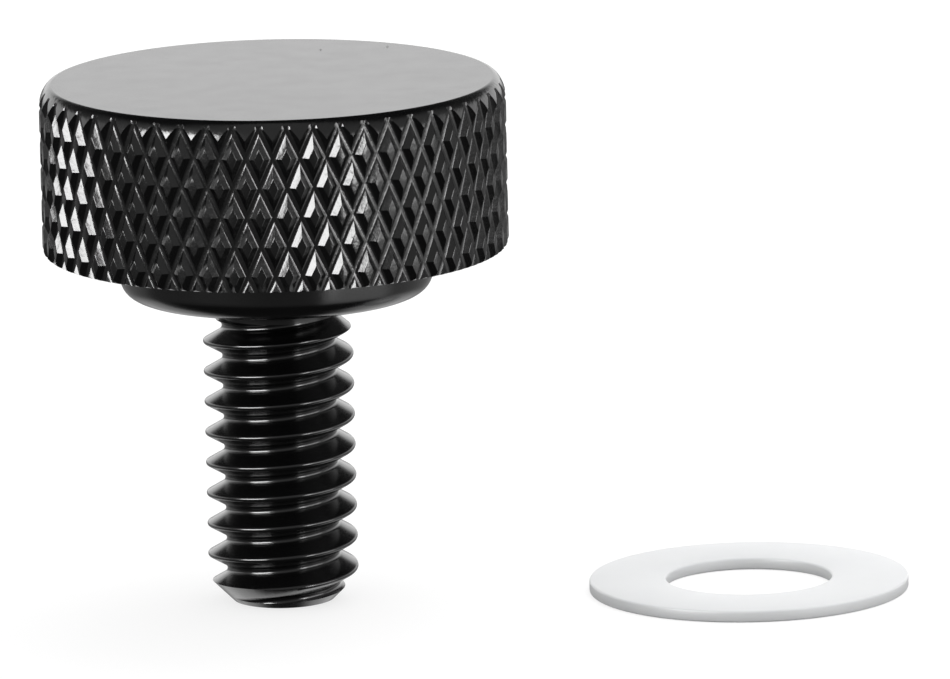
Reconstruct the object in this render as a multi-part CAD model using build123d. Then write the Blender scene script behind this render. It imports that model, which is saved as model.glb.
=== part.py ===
"""Seat knob with its washer.

A one-piece turned thumb screw: a broad gripping head, a plain collar that seats on the
washer, and a shank with a 1/4-20 right-hand thread. It stands on the flat end of its
thread, with the nylon washer lying beside it.

Frame: millimetres, +Z up. The origin is the centre of the flat thread end, on the
screw's axis, and the washer lies on the same level along +X.
"""
import math
import os

from build123d import *

# Head: plain cylinder over the knurl's crests, with an oval corner round the top face
HEAD_DIAMETER = 19.05
HEAD_HEIGHT = 7.0
TOP_CORNER_WIDTH = 0.55
TOP_CORNER_DROP = 1.1
HEAD_EDGE_BREAK = 0.3

# Collar under the head, whose flat underside is the seat
COLLAR_DIAMETER = 12.8
COLLAR_HEIGHT = 1.85
COLLAR_CORNER = 0.8

# Shank, measured from the seat down to the flat thread end. The neck's fillet opens wide
# enough to leave the flat seat just outside the thread's crests.
SHANK_LENGTH = 12.8
NECK_DIAMETER = 4.7
NECK_STRAIGHT = 0.1
SEAT_RELIEF = 0.075

# Thread, 1/4-20 unified, right-hand, with flat crests and roots between 60 degree flanks
THREAD_DIAMETER = 6.15
THREAD_PITCH = 1.27
THREAD_DEPTH = 0.779
CREST_FLAT = THREAD_PITCH / 8
FLANK_ANGLE = 30
RUN_OUT_LENGTH = 0.6
END_FLAT_DIAMETER = 4.1
END_CHAMFER_ANGLE = 45
THREAD_START_ANGLE = -17

# Washer, flat, lying beside the knob with this much floor showing between them
WASHER_OUTER_DIAMETER = 13.1
WASHER_THICKNESS = 0.5
WASHER_BORE_CLEARANCE = 0.325
WASHER_GAP = 3.0

# Working allowances for the solids that trim or join the thread, inside or beyond the metal
TRIM_MARGIN = 0.5
JOIN_OVERLAP = 0.15
FLANK_STEPS = 6

# Levels and radii that several features share
SEAT_LEVEL = SHANK_LENGTH
HEAD_UNDERSIDE = SEAT_LEVEL + COLLAR_HEIGHT
TOP_LEVEL = HEAD_UNDERSIDE + HEAD_HEIGHT
HEAD_RADIUS = HEAD_DIAMETER / 2
COLLAR_RADIUS = COLLAR_DIAMETER / 2
THREAD_RADIUS = THREAD_DIAMETER / 2
ROOT_RADIUS = THREAD_RADIUS - THREAD_DEPTH
NECK_RADIUS = NECK_DIAMETER / 2
SEAT_EDGE_RADIUS = THREAD_RADIUS + SEAT_RELIEF
NECK_FILLET = SEAT_EDGE_RADIUS - NECK_RADIUS
NECK_END = SEAT_LEVEL - NECK_FILLET - NECK_STRAIGHT
END_FLAT_RADIUS = END_FLAT_DIAMETER / 2
WASHER_RADIUS = WASHER_OUTER_DIAMETER / 2
WASHER_BORE_RADIUS = THREAD_RADIUS + WASHER_BORE_CLEARANCE


def at_angle(radius, degrees):
    """A point of the thread's cross-section, from its radius and angle."""
    turn = math.radians(degrees)
    return radius * math.cos(turn), radius * math.sin(turn)


def head_and_neck():
    """The head, collar, seat and neck, turned about the axis in one outline."""
    corner_start = HEAD_RADIUS - TOP_CORNER_WIDTH
    with BuildPart() as blank:
        with BuildSketch(Plane.XZ):
            with BuildLine():
                Polyline(
                    (corner_start, TOP_LEVEL),
                    (0, TOP_LEVEL),
                    (0, NECK_END),
                    (NECK_RADIUS, NECK_END),
                    (NECK_RADIUS, SEAT_LEVEL - NECK_FILLET),
                )
                RadiusArc(
                    (NECK_RADIUS, SEAT_LEVEL - NECK_FILLET),
                    (SEAT_EDGE_RADIUS, SEAT_LEVEL),
                    NECK_FILLET,
                )
                Line((SEAT_EDGE_RADIUS, SEAT_LEVEL), (COLLAR_RADIUS - COLLAR_CORNER, SEAT_LEVEL))
                RadiusArc(
                    (COLLAR_RADIUS - COLLAR_CORNER, SEAT_LEVEL),
                    (COLLAR_RADIUS, SEAT_LEVEL + COLLAR_CORNER),
                    -COLLAR_CORNER,
                )
                Polyline(
                    (COLLAR_RADIUS, SEAT_LEVEL + COLLAR_CORNER),
                    (COLLAR_RADIUS, HEAD_UNDERSIDE),
                    (HEAD_RADIUS - HEAD_EDGE_BREAK, HEAD_UNDERSIDE),
                    (HEAD_RADIUS, HEAD_UNDERSIDE + HEAD_EDGE_BREAK),
                    (HEAD_RADIUS, TOP_LEVEL - TOP_CORNER_DROP),
                )
                EllipticalCenterArc(
                    (corner_start, TOP_LEVEL - TOP_CORNER_DROP),
                    TOP_CORNER_WIDTH,
                    TOP_CORNER_DROP,
                    start_angle=0,
                    arc_size=90,
                )
            make_face()
        revolve(axis=Axis.Z)
    return blank.part


def thread_section():
    """The thread cut square across its axis, with the crest centred on the start angle."""
    root_flat = THREAD_PITCH - CREST_FLAT - 2 * THREAD_DEPTH * math.tan(math.radians(FLANK_ANGLE))
    half_crest = 180 * CREST_FLAT / THREAD_PITCH
    half_root = 180 * root_flat / THREAD_PITCH
    flank = 180 - half_crest - half_root

    def flank_points(side):
        return [
            at_angle(
                THREAD_RADIUS - THREAD_DEPTH * step / FLANK_STEPS,
                THREAD_START_ANGLE + side * (half_crest + flank * step / FLANK_STEPS),
            )
            for step in range(FLANK_STEPS + 1)
        ]

    left, right = flank_points(1), flank_points(-1)
    with BuildSketch() as section:
        with BuildLine():
            ThreePointArc(right[0], at_angle(THREAD_RADIUS, THREAD_START_ANGLE), left[0])
            Spline(*left)
            ThreePointArc(left[-1], at_angle(ROOT_RADIUS, THREAD_START_ANGLE + 180), right[-1])
            Spline(*right)
        make_face()
    return section.face()


def thread_envelope():
    """The turned outline that trims the thread: end chamfer below, run-out to the neck above."""
    outer = THREAD_RADIUS + TRIM_MARGIN
    chamfer_top = (outer - END_FLAT_RADIUS) / math.tan(math.radians(END_CHAMFER_ANGLE))
    inner = NECK_RADIUS - JOIN_OVERLAP
    run_out_slope = RUN_OUT_LENGTH / (THREAD_RADIUS - NECK_RADIUS)
    run_out_start = NECK_END - (outer - NECK_RADIUS) * run_out_slope
    run_out_end = NECK_END + JOIN_OVERLAP * run_out_slope
    with BuildPart() as envelope:
        with BuildSketch(Plane.XZ):
            with BuildLine():
                Polyline(
                    (0, 0),
                    (END_FLAT_RADIUS, 0),
                    (outer, chamfer_top),
                    (outer, run_out_start),
                    (inner, run_out_end),
                    (0, run_out_end),
                    close=True,
                )
            make_face()
        revolve(axis=Axis.Z)
    return envelope.part


def thread():
    """The threaded part of the shank: the section twisted up the axis, then trimmed."""
    twisted_length = SHANK_LENGTH + 2 * TRIM_MARGIN
    twisted = Solid.extrude_linear_with_rotation(
        thread_section(),
        center=(0, 0, 0),
        normal=(0, 0, twisted_length),
        angle=360 * twisted_length / THREAD_PITCH,
    )
    lead_in = Pos(0, 0, -TRIM_MARGIN) * Rot(0, 0, -360 * TRIM_MARGIN / THREAD_PITCH)
    return (lead_in * twisted) & thread_envelope()


def knob():
    """The whole turned screw as one solid."""
    return head_and_neck() + thread()


def washer():
    """The flat ring, lying on the floor beside the head."""
    centre_x = HEAD_RADIUS + WASHER_GAP + WASHER_RADIUS
    with BuildPart(Plane((centre_x, 0, 0))) as ring:
        Cylinder(WASHER_RADIUS, WASHER_THICKNESS, align=(Align.CENTER, Align.CENTER, Align.MIN))
        Cylinder(
            WASHER_BORE_RADIUS,
            WASHER_THICKNESS,
            align=(Align.CENTER, Align.CENTER, Align.MIN),
            mode=Mode.SUBTRACT,
        )
    return ring.part


os.makedirs("parts", exist_ok=True)
for node, piece in {"knob_screw": knob(), "washer": washer()}.items():
    export_step(piece, f"parts/{node}.step")
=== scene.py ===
"""The looks of a seat knob and the nylon washer that goes with it.

The knob is a thumb screw turned from one bar and coated black: a diamond-knurled head, a plain
collar, a neck and a 1/4-20 thread. It stands on its thread end, with the washer lying beside it.
Each piece is modelled in millimetres and brought to the frame's metres once it is finished.
"""

from __future__ import annotations

import logging
import math
from contextlib import contextmanager
from dataclasses import dataclass, field
from enum import Enum
from typing import Iterator, Mapping, Sequence

import bpy
from mathutils import Euler, Matrix, Vector

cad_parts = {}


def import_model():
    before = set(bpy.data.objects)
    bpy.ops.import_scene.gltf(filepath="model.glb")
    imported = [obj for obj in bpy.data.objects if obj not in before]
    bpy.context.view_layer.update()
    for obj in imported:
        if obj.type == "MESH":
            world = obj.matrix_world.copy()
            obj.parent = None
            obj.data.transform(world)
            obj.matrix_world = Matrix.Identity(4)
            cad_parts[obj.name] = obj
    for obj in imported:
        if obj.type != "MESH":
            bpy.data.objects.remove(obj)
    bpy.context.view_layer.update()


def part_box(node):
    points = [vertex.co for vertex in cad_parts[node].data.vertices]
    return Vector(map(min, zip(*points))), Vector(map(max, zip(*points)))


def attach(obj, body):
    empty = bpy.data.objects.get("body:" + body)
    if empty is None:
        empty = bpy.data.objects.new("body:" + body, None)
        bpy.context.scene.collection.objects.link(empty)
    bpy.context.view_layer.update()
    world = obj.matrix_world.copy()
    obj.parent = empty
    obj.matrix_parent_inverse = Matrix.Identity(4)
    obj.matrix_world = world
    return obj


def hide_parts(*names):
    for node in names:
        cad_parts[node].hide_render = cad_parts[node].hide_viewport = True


log = logging.getLogger("seat_knob")

MILLIMETRE = 0.001
WELD = 1e-4
KNURL_OVERRUN = 1.0
WHITE = (1.0, 1.0, 1.0, 1.0)
Point = tuple[float, float]
Colour = tuple[float, float, float]


# Modelling tools


@contextmanager
def editing(piece: bpy.types.Object) -> Iterator[None]:
    """Opens one piece in edit mode with everything on it selected, and closes it again.

    Args:
        piece: the mesh object to work on.
    """
    bpy.ops.object.select_all(action="DESELECT")
    piece.select_set(True)
    bpy.context.view_layer.objects.active = piece
    bpy.ops.object.mode_set(mode="EDIT")
    bpy.ops.mesh.select_all(action="SELECT")
    yield
    bpy.ops.object.mode_set(mode="OBJECT")


def modify(piece: bpy.types.Object, kind: str, **settings: object) -> None:
    """Adds one modifier to a piece and applies it.

    Args:
        piece: the mesh object to change.
        kind: the modifier's type.
        settings: the modifier's own settings, by name.
    """
    modifier = piece.modifiers.new(kind.lower(), kind)
    for name, value in settings.items():
        setattr(modifier, name, value)
    bpy.context.view_layer.objects.active = piece
    bpy.ops.object.modifier_apply(modifier=modifier.name)


class Combine(Enum):
    """How one closed piece is combined with another."""

    KEEP_COMMON = "INTERSECT"
    JOIN = "UNION"


def combine(piece: bpy.types.Object, other: bpy.types.Object, how: Combine) -> None:
    """Combines a closed piece with another one, which is used up.

    Args:
        piece: the closed mesh that is changed.
        other: the closed mesh that it is combined with.
        how: whether the common part or the whole of both is kept.
    """
    modify(piece, "BOOLEAN", object=other, operation=how.value, solver="MANIFOLD")
    bpy.data.objects.remove(other)


def weld(piece: bpy.types.Object) -> None:
    """Merges a piece's doubled points and turns its faces outwards.

    Args:
        piece: the mesh object to weld.
    """
    with editing(piece):
        bpy.ops.mesh.remove_doubles(threshold=WELD)
        bpy.ops.mesh.select_all(action="SELECT")
        bpy.ops.mesh.normals_make_consistent(inside=False)


def trace(name: str, outline: Sequence[Point]) -> bpy.types.Object:
    """Draws an open outline in the XZ plane by extruding one point along it.

    Args:
        name: the new object's name.
        outline: the outline's points, as radius and height.

    Returns:
        An object with one chain of edges.
    """
    points = [Vector((radius, 0, height)) for radius, height in outline]
    bpy.ops.object.select_all(action="DESELECT")
    bpy.ops.mesh.primitive_plane_add(location=points[0])
    traced = bpy.context.object
    traced.name = name
    with editing(traced):
        bpy.ops.mesh.merge(type="CENTER")
        for start, end in zip(points, points[1:]):
            bpy.ops.mesh.extrude_region_move(TRANSFORM_OT_translate={"value": end - start})
    bpy.ops.object.transform_apply(location=True)
    return traced


def turn(name: str, outline: Sequence[Point], steps: int) -> bpy.types.Object:
    """Turns an outline once round the Z axis, as on a lathe.

    Args:
        name: the new object's name.
        outline: points as radius and height, either closed or with both ends on the axis.
        steps: how many flats the round has.

    Returns:
        A closed solid of revolution.
    """
    turned = trace(name, outline)
    with editing(turned):
        bpy.ops.mesh.spin(steps=steps, angle=math.tau, center=(0, 0, 0), axis=(0, 0, 1))
    weld(turned)
    return turned


def arc(centre: Point, radii: Point, start: float, end: float, steps: int) -> list[Point]:
    """Points along an oval arc.

    Args:
        centre: the arc's centre, as radius and height.
        radii: the arc's radii across and up.
        start: the angle of the first point, in degrees from outwards towards up.
        end: the angle of the last point.
        steps: how many straight runs make the arc.

    Returns:
        The arc's points, both ends included.
    """
    angles = [math.radians(start + (end - start) * step / steps) for step in range(steps + 1)]
    return [(centre[0] + radii[0] * math.cos(a), centre[1] + radii[1] * math.sin(a)) for a in angles]


def slice_level(piece: bpy.types.Object, level: float, keep_above: bool) -> None:
    """Cuts a piece square across at a level and closes the cut.

    Args:
        piece: the mesh to cut.
        level: the height of the cut.
        keep_above: whether what is above the cut stays, or what is below it.
    """
    with editing(piece):
        bpy.ops.mesh.bisect(
            plane_co=(0, 0, level),
            plane_no=(0, 0, 1),
            use_fill=True,
            clear_inner=keep_above,
            clear_outer=not keep_above,
            threshold=WELD,
        )


def finish_piece(piece: bpy.types.Object, smooth_angle: float) -> None:
    """Brings a piece from millimetres to metres and shades it.

    Args:
        piece: the finished mesh, in millimetres.
        smooth_angle: in degrees; edges that turn by less are shaded smooth.
    """
    bpy.ops.object.select_all(action="DESELECT")
    piece.select_set(True)
    bpy.context.view_layer.objects.active = piece
    piece.scale = (MILLIMETRE,) * 3
    bpy.ops.object.transform_apply(scale=True)
    bpy.ops.object.shade_smooth_by_angle(angle=math.radians(smooth_angle))
    modify(piece, "WEIGHTED_NORMAL", mode="FACE_AREA", keep_sharp=True)


# Material tools


class Term:
    """One number in a material, which adds Math nodes as it is used in an expression."""

    def __init__(self, recipe: Recipe, socket: bpy.types.NodeSocket) -> None:
        """Wraps an output socket of a recipe's node."""
        self.recipe = recipe
        self.socket = socket

    def __add__(self, other: Term | float) -> Term:
        """The sum."""
        return self.recipe.maths("ADD", self, other)

    def __sub__(self, other: Term | float) -> Term:
        """The difference."""
        return self.recipe.maths("SUBTRACT", self, other)

    def __rsub__(self, other: float) -> Term:
        """The difference, from a plain number."""
        return self.recipe.maths("SUBTRACT", other, self)

    def __mul__(self, other: Term | float) -> Term:
        """The product."""
        return self.recipe.maths("MULTIPLY", self, other)

    __radd__ = __add__
    __rmul__ = __mul__


class Recipe:
    """A node tree that is written as expressions and short calls."""

    def __init__(self, tree: bpy.types.NodeTree) -> None:
        """Starts from an empty tree."""
        self.tree = tree
        tree.nodes.clear()

    def node(
        self,
        kind: str,
        settings: Mapping[str, object] | None = None,
        inputs: Mapping[str | int, object] | None = None,
    ) -> bpy.types.Node:
        """Adds any node.

        Args:
            kind: the node's type, without the ShaderNode at its front.
            settings: the node's properties, which are set first.
            inputs: a value, a Term or an output socket for each input, by name or place.

        Returns:
            The new node.
        """
        node = self.tree.nodes.new(f"ShaderNode{kind}")
        for name, value in (settings or {}).items():
            setattr(node, name, value)
        for name, value in (inputs or {}).items():
            source = value.socket if isinstance(value, Term) else value
            if isinstance(source, bpy.types.NodeSocket):
                self.tree.links.new(source, node.inputs[name])
            else:
                node.inputs[name].default_value = source
        return node

    def maths(self, operation: str, first: Term | float, second: Term | float = 0.0) -> Term:
        """One Math node, as a Term."""
        node = self.node("Math", {"operation": operation}, {0: first, 1: second})
        return Term(self, node.outputs[0])

    def smooth_step(self, value: Term, low: float, high: float) -> Term:
        """A smooth rise from 0 to 1.

        Args:
            value: what is compared.
            low: where the rise starts.
            high: where it ends.

        Returns:
            The risen part, from 0 to 1.
        """
        settings = {"interpolation_type": "SMOOTHSTEP"}
        node = self.node("MapRange", settings, {"Value": value, "From Min": low, "From Max": high})
        return Term(self, node.outputs["Result"])

    def noise(self, place: bpy.types.NodeSocket, per_mm: float, detail: float = 3.0) -> Term:
        """Soft random variation from 0 to 1 with this many lumps in a millimetre."""
        inputs = {"Vector": place, "Scale": per_mm / MILLIMETRE, "Detail": detail}
        return Term(self, self.node("TexNoise", None, inputs).outputs["Fac"])

    def axes(self, place: bpy.types.NodeSocket) -> tuple[Term, Term, Term]:
        """A vector's three parts."""
        parts = self.node("SeparateXYZ", None, {"Vector": place}).outputs
        return Term(self, parts["X"]), Term(self, parts["Y"]), Term(self, parts["Z"])

    def blend(self, mask: Term, low: Colour, high: Colour) -> bpy.types.NodeSocket:
        """A colour between two others.

        Args:
            mask: 0 for the first colour and 1 for the second.
            low: the first colour, red, green and blue.
            high: the second colour.

        Returns:
            The blended colour's socket.
        """
        node = self.node("Mix", {"data_type": "RGBA"})
        sockets = {socket.name: socket for socket in node.inputs if socket.enabled}
        self.tree.links.new(mask.socket, sockets["Factor"])
        sockets["A"].default_value = (*low, 1.0)
        sockets["B"].default_value = (*high, 1.0)
        return next(socket for socket in node.outputs if socket.enabled)


def new_material(name: str) -> tuple[bpy.types.Material, Recipe]:
    """Starts a material.

    Args:
        name: the material's name.

    Returns:
        The material and the recipe of its empty node tree.
    """
    material = bpy.data.materials.new(name)
    material.use_nodes = True
    return material, Recipe(material.node_tree)


def wear(piece: bpy.types.Object, material: bpy.types.Material) -> None:
    """Gives a piece one material all over."""
    piece.data.materials.clear()
    piece.data.materials.append(material)


# Finishes


@dataclass(frozen=True)
class BlackCoat:
    """The knob's satin-gloss black coat, with faint lathe rings under it on the flat top.

    Heights and sizes are in millimetres.
    """

    colour: Colour = (0.002, 0.002, 0.0022)
    dusty_colour: Colour = (0.004, 0.004, 0.0042)
    ior: float = 1.55
    mottle_per_mm: float = 0.8
    roughness: float = 0.17
    roughness_spread: float = 0.05
    orange_peel_per_mm: float = 5.0
    orange_peel_detail: float = 2.0
    orange_peel_height: float = 0.0010
    orange_peel_on_top: float = 0.3
    grain_per_mm: float = 4.5
    grain_height: float = 0.009
    grain_from_radius: float = 9.1
    grain_full_radius: float = 9.2
    nicks: tuple[Point, ...] = ((4.7, 6.7), (1.95, 6.35))
    nick_size: Point = (0.12, 0.6)
    nick_edge: Point = (0.4, 1.2)
    nick_roughness: float = 0.09
    ring_spacing: float = 0.16
    ring_height: float = 0.00035
    top_fade: Point = (-0.02, -0.005)

    def material(self, top_level: float) -> bpy.types.Material:
        """Builds the coat.

        Args:
            top_level: the height of the head's flat top, in millimetres.

        Returns:
            The finished material.
        """
        material, recipe = new_material("black_coat")
        place = recipe.node("TexCoord").outputs["Object"]
        across, along, up = recipe.axes(place)
        fade_low, fade_high = ((top_level + level) * MILLIMETRE for level in self.top_fade)
        flat_top = recipe.smooth_step(up, fade_low, fade_high)
        radius = recipe.maths("SQRT", across * across + along * along)
        mottle = recipe.noise(place, self.mottle_per_mm)
        nicked = self._nicked(recipe, across, along) * flat_top * self.nick_roughness
        relief = self._relief(recipe, place, radius, flat_top)
        bump = recipe.node("Bump", None, {"Distance": MILLIMETRE, "Height": relief})
        shader = recipe.node(
            "BsdfPrincipled",
            None,
            {
                "Base Color": recipe.blend(mottle, self.colour, self.dusty_colour),
                "Roughness": mottle * self.roughness_spread + self.roughness + nicked,
                "IOR": self.ior,
                "Normal": bump.outputs["Normal"],
            },
        )
        recipe.node("OutputMaterial", None, {"Surface": shader.outputs["BSDF"]})
        return material

    def _relief(
        self, recipe: Recipe, place: bpy.types.NodeSocket, radius: Term, flat_top: Term
    ) -> Term:
        """The coat's fine height: orange peel, rings on the flat top and grain on the knurl.

        Args:
            recipe: the material's recipe.
            place: the point on the surface.
            radius: its distance from the axis, in metres.
            flat_top: 1 on the flat top and 0 below it.

        Returns:
            The height in millimetres.
        """
        peel = recipe.noise(place, self.orange_peel_per_mm, self.orange_peel_detail)
        peel = peel * (1 - flat_top * (1 - self.orange_peel_on_top))
        rings = recipe.maths("SINE", radius * (math.tau / (self.ring_spacing * MILLIMETRE)))
        start, full = self.grain_from_radius * MILLIMETRE, self.grain_full_radius * MILLIMETRE
        knurled = recipe.smooth_step(radius, start, full) * (1 - flat_top)
        grain = recipe.noise(place, self.grain_per_mm) * knurled * self.grain_height
        return peel * self.orange_peel_height + rings * flat_top * self.ring_height + grain

    def _nicked(self, recipe: Recipe, across: Term, along: Term) -> Term:
        """Finds the small dull marks on the top face.

        Args:
            recipe: the material's recipe.
            across: the point's X, in metres.
            along: the point's Y.

        Returns:
            1 inside a mark and 0 elsewhere.
        """
        wide, long = (2 / (size * MILLIMETRE) for size in self.nick_size)
        marks = []
        for x, y in self.nicks:
            off_x = (across - x * MILLIMETRE) * wide
            off_y = (along - y * MILLIMETRE) * long
            marks.append(1 - recipe.smooth_step(off_x * off_x + off_y * off_y, *self.nick_edge))
        return sum(marks)


@dataclass(frozen=True)
class Nylon:
    """The washer's smooth white nylon, which lets a little light through."""

    colour: Colour = (0.86, 0.87, 0.875)
    shade_colour: Colour = (0.80, 0.81, 0.82)
    cloud_per_mm: float = 0.25
    ior: float = 1.53
    roughness: float = 0.34
    roughness_spread: float = 0.14
    light_share: float = 0.35
    light_reach: float = 0.5
    light_tint: Colour = (1.0, 1.0, 0.95)
    ripple_per_mm: float = 1.6
    ripple_height: float = 0.004

    def material(self) -> bpy.types.Material:
        """Builds the nylon.

        Returns:
            The finished material.
        """
        material, recipe = new_material("white_nylon")
        place = recipe.node("TexCoord").outputs["Object"]
        cloud = recipe.noise(place, self.cloud_per_mm)
        ripple = recipe.noise(place, self.ripple_per_mm)
        relief = ripple * self.ripple_height
        bump = recipe.node("Bump", None, {"Distance": MILLIMETRE, "Height": relief})
        shader = recipe.node(
            "BsdfPrincipled",
            None,
            {
                "Base Color": recipe.blend(cloud, self.shade_colour, self.colour),
                "Roughness": ripple * self.roughness_spread + self.roughness,
                "IOR": self.ior,
                "Subsurface Weight": self.light_share,
                "Subsurface Radius": self.light_tint,
                "Subsurface Scale": self.light_reach * MILLIMETRE,
                "Normal": bump.outputs["Normal"],
            },
        )
        recipe.node("OutputMaterial", None, {"Surface": shader.outputs["BSDF"]})
        return material


# The object's pieces


@dataclass
class Knurl:
    """The diamond knurl rolled round the head, as one closed prism of blunt pyramids.

    Each pyramid is one cell between the grooves of two opposite helices. Its foot is a rhombus
    along the groove bottoms and its flat tip lies at the crest radius.
    """

    crest_radius: float
    low: float
    high: float
    cells_around: int = 54
    cell_height: float = 2.40
    flank_angle: float = 43.0
    tip_share: float = 0.30
    groove_rounding: float = 0.20
    tip_rounding: float = 0.06
    arc_steps: int = 3
    crossing_level: float = 20.12
    crossing_angle: float = 0.52

    @property
    def cell_width(self) -> float:
        """One cell's width along the round, at the crests."""
        return math.tau * self.crest_radius / self.cells_around

    def build(self) -> bpy.types.Object:
        """Models one cell, repeats it over the band, rolls the band up and closes its ends.

        Returns:
            A closed prism that runs past both ends of the head.
        """
        band = self._cell()
        self._repeat(band)
        self._roll_up(band)
        slice_level(band, self.low, keep_above=True)
        slice_level(band, self.high, keep_above=False)
        weld(band)
        return band

    def _section(self) -> list[Point]:
        """Works out the cell's section, from the middle of a groove to the edge of the tip.

        Returns:
            Points as distance in from the groove's middle and height above it.
        """
        half_width, half_height = self.cell_width / 2, self.cell_height / 2
        reach = half_width * half_height / math.hypot(half_width, half_height)
        slope = math.radians(self.flank_angle)
        hollow, crown = self.groove_rounding, self.tip_rounding
        tip = reach * (1 - self.tip_share)
        flank_run = tip - (hollow + crown) * math.sin(slope)
        height = flank_run * math.tan(slope) + (hollow + crown) * (1 - math.cos(slope))
        foot = arc((0.0, hollow), (hollow, hollow), -90, self.flank_angle - 90, self.arc_steps)
        shoulder = arc(
            (tip, height - crown), (crown, crown), 90 + self.flank_angle, 90, self.arc_steps
        )
        return foot + shoulder

    def _cell(self) -> bpy.types.Object:
        """Models one blunt pyramid, standing on the XZ plane and facing -Y.

        Returns:
            The pyramid, with its tip at Y = 0.
        """
        bpy.ops.object.select_all(action="DESELECT")
        bpy.ops.mesh.primitive_circle_add(
            vertices=4, radius=1, fill_type="NGON", rotation=(math.pi / 2, 0, 0)
        )
        cell = bpy.context.object
        cell.name = "knurl_band"
        bpy.ops.object.transform_apply(rotation=True)
        section = self._section()
        with editing(cell):
            bpy.ops.transform.resize(value=(self.cell_width / 2, 1, self.cell_height / 2))
            bpy.ops.transform.translate(value=(0, section[-1][1], 0))
            for (inner, lower), (outer, upper) in zip(section, section[1:]):
                bpy.ops.mesh.inset(thickness=outer - inner, depth=upper - lower)
        return cell

    def _repeat(self, band: bpy.types.Object) -> None:
        """Sets the cells out in staggered rows over one full turn of the head.

        Args:
            band: the first cell, which becomes the whole flat band.
        """
        width, height = self.cell_width, self.cell_height
        rows = math.ceil((self.high - self.low) / height) + 2
        offset = {"use_relative_offset": False, "use_constant_offset": True}
        stagger = Vector((width / 2, 0, height / 2))
        modify(band, "ARRAY", count=2, constant_offset_displace=stagger, **offset)
        across, up = Vector((width, 0, 0)), Vector((0, 0, height))
        modify(band, "ARRAY", count=self.cells_around + 1, constant_offset_displace=across, **offset)
        modify(band, "ARRAY", count=rows, constant_offset_displace=up, **offset)
        weld(band)
        full_turn = self.cells_around * width
        with editing(band):
            for level, clear_left in ((0.0, True), (full_turn, False)):
                bpy.ops.mesh.select_all(action="SELECT")
                bpy.ops.mesh.bisect(
                    plane_co=(level, 0, 0),
                    plane_no=(1, 0, 0),
                    clear_inner=clear_left,
                    clear_outer=not clear_left,
                    threshold=WELD,
                )

    def _roll_up(self, band: bpy.types.Object) -> None:
        """Bends the flat band into a full ring about the Z axis and turns it to its angle.

        Args:
            band: the flat band of cells.
        """
        modify(band, "SIMPLE_DEFORM", deform_method="BEND", deform_axis="Z", angle=math.tau)
        drop = math.ceil((self.crossing_level - self.low) / self.cell_height) + 0.5
        band.location = (0, -self.crest_radius, self.crossing_level - drop * self.cell_height)
        band.select_set(True)
        bpy.context.view_layer.objects.active = band
        bpy.ops.object.transform_apply(location=True)
        band.rotation_euler = Euler((0, 0, math.radians(self.crossing_angle)))
        bpy.ops.object.transform_apply(rotation=True)
        weld(band)


@dataclass
class Thread:
    """A right-hand 1/4-20 thread with rounded crests and roots, trimmed at both ends."""

    radius: float = 3.075
    pitch: float = 1.27
    depth: float = 0.779
    flank_angle: float = 30.0
    crest_rounding: float = 0.13
    start_angle: float = -17.0
    end_flat_radius: float = 2.05
    end_corner: Point = (0.08, 0.032)
    run_out: float = 0.6
    neck_radius: float = 2.35
    neck_end: float = 11.9
    margin: float = 0.5
    join_overlap: float = 0.125
    spare_turns: int = 2
    steps_around: int = 96
    arc_steps: int = 8

    def _section(self) -> list[Point]:
        """Works out one pitch of the thread's section, with its crest at the middle.

        Returns:
            Points from root to root, as radius and height.
        """
        roundings = self.pitch / (2 * math.tan(math.radians(self.flank_angle))) - self.depth
        root_rounding = roundings - self.crest_rounding
        root_centre = self.radius - self.depth + root_rounding
        crest_centre = self.radius - self.crest_rounding
        root, crest = (root_rounding,) * 2, (self.crest_rounding,) * 2
        half, sweep = self.arc_steps // 2, 90 - self.flank_angle
        lower_root = arc((root_centre, 0.0), root, 180, 180 - sweep, half)
        crest_arc = arc((crest_centre, self.pitch / 2), crest, -sweep, sweep, self.arc_steps)
        upper_root = arc((root_centre, self.pitch), root, 180 + sweep, 180, half)
        return lower_root + crest_arc + upper_root

    def _screwed(self) -> bpy.types.Object:
        """Winds the section up the axis, past both ends, and closes it.

        Returns:
            The untrimmed thread.
        """
        turns = 2 * self.spare_turns + math.ceil((self.neck_end + self.run_out) / self.pitch)
        shift = self.pitch * (-self.start_angle / 360 - 0.5 - self.spare_turns)
        wound = trace("thread", [(r, z + shift) for r, z in self._section()])
        modify(
            wound,
            "SCREW",
            axis="Z",
            angle=math.tau,
            screw_offset=self.pitch,
            iterations=turns,
            steps=self.steps_around,
            render_steps=self.steps_around,
        )
        weld(wound)
        slice_level(wound, -self.margin, keep_above=True)
        slice_level(wound, self.neck_end + self.run_out, keep_above=False)
        weld(wound)
        return wound

    def _envelope(self) -> list[Point]:
        """Works out the turned outline that trims the thread.

        Returns:
            Points as radius and height, with the end chamfer first and the run-out last.
        """
        outer = self.radius + self.margin
        inset, rise = self.end_corner
        slope = self.run_out / (self.radius - self.neck_radius)
        run_out_end = self.neck_end + self.join_overlap * slope
        return [
            (0.0, 0.0),
            (self.end_flat_radius - inset, 0.0),
            (self.end_flat_radius + rise, rise),
            (outer, outer - self.end_flat_radius),
            (outer, self.neck_end - (outer - self.neck_radius) * slope),
            (self.neck_radius - self.join_overlap, run_out_end),
            (0.0, run_out_end),
        ]

    def build(self) -> bpy.types.Object:
        """Models the thread and trims it.

        Returns:
            The closed thread, whose top ends inside the neck.
        """
        thread = self._screwed()
        combine(thread, turn("envelope", self._envelope(), self.steps_around), Combine.KEEP_COMMON)
        return thread


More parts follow.
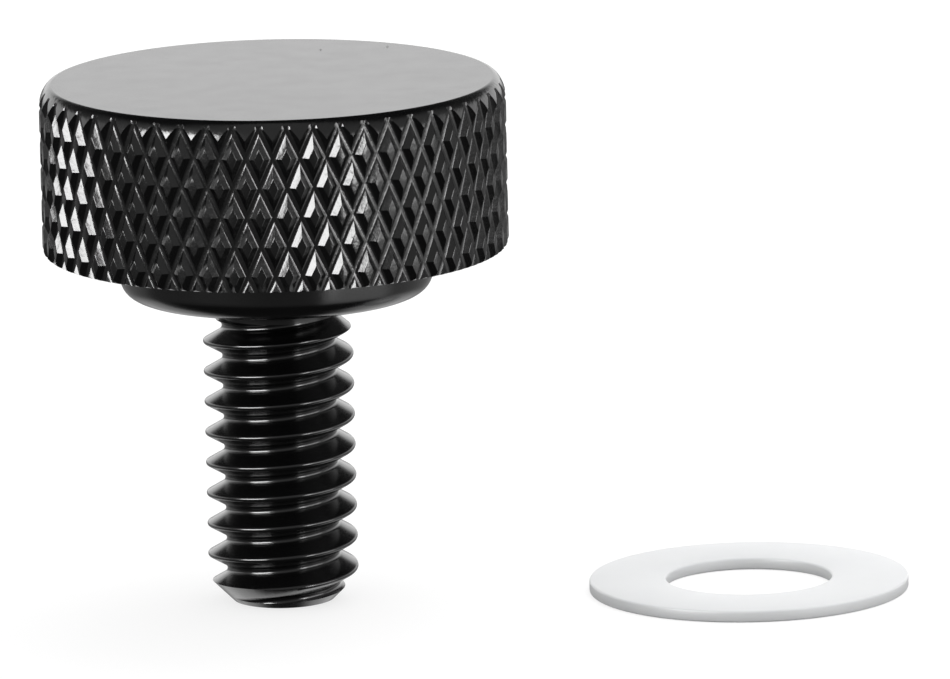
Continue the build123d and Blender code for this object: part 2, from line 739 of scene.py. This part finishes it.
@dataclass
class KnobScrew:
    """The whole thumb screw: knurled head, collar, neck and thread."""

    radius: float
    top_level: float
    head_height: float = 7.0
    top_corner: Point = (0.55, 1.1)
    edge_rounding: float = 0.3
    collar_radius: float = 6.4
    collar_height: float = 1.85
    collar_corner: float = 0.8
    seat_edge: float = 3.15
    blank_allowance: float = 0.02
    steps_per_cell: int = 8
    corner_steps: int = 14
    edge_steps: int = 5
    collar_steps: int = 10
    fillet_steps: int = 8
    smooth_angle: float = 24.0

    @property
    def underside(self) -> float:
        """The level of the head's underside."""
        return self.top_level - self.head_height

    def _head_outline(self) -> list[Point]:
        """Works out the outline of the head's turned blank.

        Returns:
            Points from the middle of its top round to the middle below.
        """
        full = self.radius + self.blank_allowance
        wide, deep = self.top_corner
        corner_centre = (full - wide, self.top_level - deep)
        corner = arc(corner_centre, self.top_corner, 90, 0, self.corner_steps)
        edge = self.edge_rounding
        foot = arc((full - edge, self.underside + edge), (edge, edge), 0, -90, self.edge_steps)
        return [(0.0, self.top_level), *corner, *foot, (0.0, self.underside)]

    def _stem_outline(self, thread: Thread) -> list[Point]:
        """Works out the outline of the collar and neck.

        Args:
            thread: the thread that the neck runs into.

        Returns:
            Points from inside the head down to inside the thread.
        """
        seat = self.underside - self.collar_height
        inside = self.underside + self.head_height / 2
        corner, neck = self.collar_corner, self.seat_edge - thread.neck_radius
        corner_centre = (self.collar_radius - corner, seat + corner)
        collar = arc(corner_centre, (corner, corner), 0, -90, self.collar_steps)
        fillet = arc((self.seat_edge, seat - neck), (neck, neck), 90, 180, self.fillet_steps)
        return [
            (0.0, inside),
            (self.collar_radius, inside),
            *collar,
            *fillet,
            (thread.neck_radius, thread.neck_end),
            (0.0, thread.neck_end),
        ]

    def build(self, knurl: Knurl, thread: Thread) -> bpy.types.Object:
        """Cuts the knurl into the head's blank and joins the collar, neck and thread to it.

        Args:
            knurl: the knurl on the head.
            thread: the thread on the shank.

        Returns:
            The screw as one closed mesh, in metres.
        """
        steps = knurl.cells_around * self.steps_per_cell
        screw = turn("knob_screw_body", self._head_outline(), steps)
        combine(screw, knurl.build(), Combine.KEEP_COMMON)
        combine(screw, turn("stem", self._stem_outline(thread), steps // 2), Combine.JOIN)
        combine(screw, thread.build(), Combine.JOIN)
        finish_piece(screw, self.smooth_angle)
        return screw


@dataclass
class Washer:
    """The flat nylon washer, lying on the floor."""

    outer_radius: float
    thickness: float
    centre_x: float
    bore_radius: float = 3.4
    edge_rounding: float = 0.09
    edge_steps: int = 4
    steps: int = 192
    smooth_angle: float = 40.0

    def build(self) -> bpy.types.Object:
        """Turns the washer's rounded section and sets it in its place.

        Returns:
            The washer as one closed mesh, in metres.
        """
        edge = self.edge_rounding
        radii = (edge, edge)
        inner, outer = self.bore_radius + edge, self.outer_radius - edge
        low, high = edge, self.thickness - edge
        corners = [((outer, low), -90), ((outer, high), 0), ((inner, high), 90), ((inner, low), 180)]
        outline: list[Point] = []
        for centre, start in corners:
            outline += arc(centre, radii, start, start + 90, self.edge_steps)
        washer = turn("washer_ring", [*outline, outline[0]], self.steps)
        washer.location.x = self.centre_x
        bpy.ops.object.transform_apply(location=True)
        finish_piece(washer, self.smooth_angle)
        return washer


# The studio


@dataclass
class Lamp:
    """One soft rectangular lamp that faces the object.

    Angles are in degrees: azimuth 0 in front, 90 at the right. Distance, width and height are in
    metres, and a radiance of 1 is white.
    """

    name: str
    azimuth: float
    elevation: float
    distance: float
    width: float
    height: float
    radiance: float
    lights_gloss: bool = True
    lights_matt: bool = True

    def build(self, aim: Vector) -> None:
        """Hangs the lamp at its angles.

        Args:
            aim: the point that the lamp faces, in metres.
        """
        azimuth, elevation = math.radians(self.azimuth), math.radians(self.elevation)
        away = Vector(
            (
                math.sin(azimuth) * math.cos(elevation),
                -math.cos(azimuth) * math.cos(elevation),
                math.sin(elevation),
            )
        )
        data = bpy.data.lights.new(self.name, "AREA")
        data.shape = "RECTANGLE"
        data.size, data.size_y = self.width, self.height
        data.energy = self.radiance * math.pi * self.width * self.height
        lamp = bpy.data.objects.new(self.name, data)
        lamp.location = aim + away * self.distance
        lamp.rotation_euler = away.to_track_quat("Z", "Y").to_euler()
        lamp.visible_glossy = self.lights_gloss
        lamp.visible_diffuse = self.lights_matt
        bpy.context.scene.collection.objects.link(lamp)


@dataclass
class Surroundings:
    """What the gloss sees of the studio, by direction; the camera itself sees plain white.

    Angles are in degrees: azimuth 0 in front, 90 at the right, and elevation up from level.
    Levels are radiances, where 1 is white.
    """

    wall: float = 1.47
    front_sky: float = 0.42
    back_sky: float = 0.05
    wall_edge: Point = (84.0, 100.0)
    wall_top: Point = (13.5, 22.0)
    sky_front: Point = (-0.6, 0.15)
    dark_sky_sides: Point = (30.0, 75.0)
    dark_sky_up: Point = (30.0, 50.0)
    side_floor: float = 1.1
    back_floor: float = 0.4
    close_floor: float = 1.3
    dark_floor: float = 0.18
    dark_floor_from: Point = (-116.0, -104.0)
    dark_floor_to: Point = (33.0, 38.0)
    near_floor_front: Point = (22.0, 36.0)
    close_floor_back: Point = (22.0, 38.0)
    near_floor_back: Point = (55.0, 72.0)
    near_floor: float = 0.04
    floor_edge: Point = (-4.0, -1.0)
    matt_level: float = 0.90

    def build(self, world: bpy.types.World) -> None:
        """Writes the surroundings into the world's nodes.

        Args:
            world: the scene's world.
        """
        recipe = Recipe(world.node_tree)
        direction = recipe.node("TexCoord").outputs["Generated"]
        across, back, up = recipe.axes(direction)
        degrees = 180 / math.pi
        azimuth = recipe.maths("ARCTAN2", across, back * -1.0) * degrees
        elevation = recipe.maths("ARCSINE", up) * degrees
        turned = recipe.maths("ABSOLUTE", azimuth)
        behind = recipe.smooth_step(turned, *self.wall_edge)
        in_front = recipe.smooth_step(back * -1.0, *self.sky_front)
        sky = in_front * (self.front_sky - self.back_sky) + self.back_sky
        at_side = recipe.smooth_step(turned, *self.dark_sky_sides)
        sky = sky * (1 - at_side * recipe.smooth_step(elevation, *self.dark_sky_up))
        wall = behind * (1 - recipe.smooth_step(elevation, *self.wall_top))
        above = sky + wall * (self.wall - sky)
        in_dark = recipe.smooth_step(azimuth, *self.dark_floor_from)
        in_dark = in_dark * (1 - recipe.smooth_step(azimuth, *self.dark_floor_to))
        depression = elevation * -1.0
        close = recipe.smooth_step(depression, *self.close_floor_back)
        back_floor = close * (self.close_floor - self.back_floor) + self.back_floor
        lit_floor = self.side_floor - behind * (self.side_floor - back_floor)
        floor = lit_floor - in_dark * (lit_floor - self.dark_floor)
        near_front = recipe.smooth_step(depression, *self.near_floor_front)
        near_back = recipe.smooth_step(depression, *self.near_floor_back)
        near = near_front + behind * (near_back - near_front)
        below = floor + near * (self.near_floor - floor)
        over_edge = recipe.smooth_step(elevation, *self.floor_edge)
        gloss_level = below + over_edge * (above - below)
        path = recipe.node("LightPath").outputs
        camera = Term(recipe, path["Is Camera Ray"])
        glossy, through = (Term(recipe, path[f"Is {kind} Ray"]) for kind in ("Glossy", "Transmission"))
        gloss = recipe.maths("MAXIMUM", glossy, through)
        plain = (1 - camera) * (1 - gloss) * self.matt_level
        level = camera + gloss * gloss_level + plain
        background = recipe.node("Background", None, {"Color": WHITE, "Strength": level})
        recipe.node("OutputWorld", None, {"Surface": background.outputs[0]})


@dataclass
class Studio:
    """A pale floor and white surroundings, lit from the left, the right and above."""

    floor_size: float = 6.0
    floor_grey: float = 0.30
    floor_glow: float = 0.75
    lamps: tuple[Lamp, ...] = (
        Lamp("left_key", -47, 13, 0.5, 0.355, 0.17, 20.0, lights_matt=False),
        Lamp("right_fill", 64, 1, 0.5, 0.40, 0.15, 4.0, lights_matt=False),
        Lamp("right_strip", 41, 0, 0.5, 0.09, 0.16, 12.5, lights_matt=False),
        Lamp("soft_top", 150, 62, 0.8, 0.6, 0.6, 2.0, lights_gloss=False),
    )
    surroundings: Surroundings = field(default_factory=Surroundings)

    def build(self, aim: Vector) -> None:
        """Sets up the floor, the surroundings and the lamps.

        Args:
            aim: the point that the lamps face, in metres.
        """
        self._floor()
        world = bpy.data.worlds.new("studio")
        world.use_nodes = True
        bpy.context.scene.world = world
        self.surroundings.build(world)
        for lamp in self.lamps:
            lamp.build(aim)

    def _floor(self) -> None:
        """The floor, white where nothing shades it."""
        bpy.ops.object.select_all(action="DESELECT")
        bpy.ops.mesh.primitive_plane_add(size=self.floor_size)
        floor = bpy.context.object
        floor.name = "floor"
        floor.visible_glossy = False
        material, recipe = new_material("pale_floor")
        lit = recipe.node("BsdfDiffuse", None, {"Color": (self.floor_grey,) * 3 + (1.0,)})
        glow = recipe.node("Emission", None, {"Color": WHITE, "Strength": self.floor_glow})
        both = recipe.node("AddShader", None, {0: lit.outputs[0], 1: glow.outputs[0]})
        camera_ray = recipe.node("LightPath").outputs["Is Camera Ray"]
        mixed = recipe.node(
            "MixShader", None, {0: camera_ray, 1: lit.outputs[0], 2: both.outputs[0]}
        )
        recipe.node("OutputMaterial", None, {"Surface": mixed.outputs[0]})
        wear(floor, material)


@dataclass
class View:
    """The camera: a long lens from slightly above, leaning a little to one side.

    Aim, distance and lens are in millimetres, angles in degrees, and the far limit in metres.
    """

    aim: tuple[float, float, float] = (8.05, 0.0, 10.645)
    elevation: float = 11.6
    roll: float = -1.23
    distance: float = 595.0
    lens: float = 551.3
    clip_end: float = 100.0

    def build(self) -> None:
        """Adds the camera and makes it the scene's own."""
        data = bpy.data.cameras.new("camera")
        data.lens = self.lens
        data.clip_end = self.clip_end
        tilt = math.radians(self.elevation)
        away = Vector((0.0, -math.cos(tilt), math.sin(tilt)))
        camera = bpy.data.objects.new("camera", data)
        facing = away.to_track_quat("Z", "Y").to_matrix().to_4x4()
        lean = Matrix.Rotation(math.radians(self.roll), 4, "Z")
        place = Matrix.Translation((Vector(self.aim) + away * self.distance) * MILLIMETRE)
        camera.matrix_world = place @ facing @ lean
        bpy.context.scene.collection.objects.link(camera)
        bpy.context.scene.camera = camera


def settle(piece: bpy.types.Object, node: str, material: bpy.types.Material) -> None:
    """Puts a finished piece in place of its node.

    Args:
        piece: the finished mesh, in metres.
        node: the node that it replaces.
        material: its finish.
    """
    wear(piece, material)
    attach(piece, "root")
    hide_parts(node)
    log.info("%s: %d faces, in place of %s", piece.name, len(piece.data.polygons), node)


def main() -> None:
    """Builds the knob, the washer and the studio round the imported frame."""
    logging.basicConfig(level=logging.INFO, format="%(name)s: %(message)s")
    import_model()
    screw_low, screw_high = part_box("knob_screw")
    washer_low, washer_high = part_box("washer")

    screw = KnobScrew(screw_high.x / MILLIMETRE, screw_high.z / MILLIMETRE)
    knurl = Knurl(screw.radius, screw.underside - KNURL_OVERRUN, screw.top_level + KNURL_OVERRUN)
    coat = BlackCoat().material(screw.top_level)
    settle(screw.build(knurl, Thread()), "knob_screw", coat)

    ring = (washer_high - washer_low) / MILLIMETRE
    middle = (washer_high.x + washer_low.x) / (2 * MILLIMETRE)
    washer = Washer(ring.x / 2, ring.z, middle)
    settle(washer.build(), "washer", Nylon().material())

    Studio().build((screw_low + screw_high) / 2)
    View().build()
    bpy.context.scene.view_settings.view_transform = "Standard"


if __name__ == "__main__":
    main()
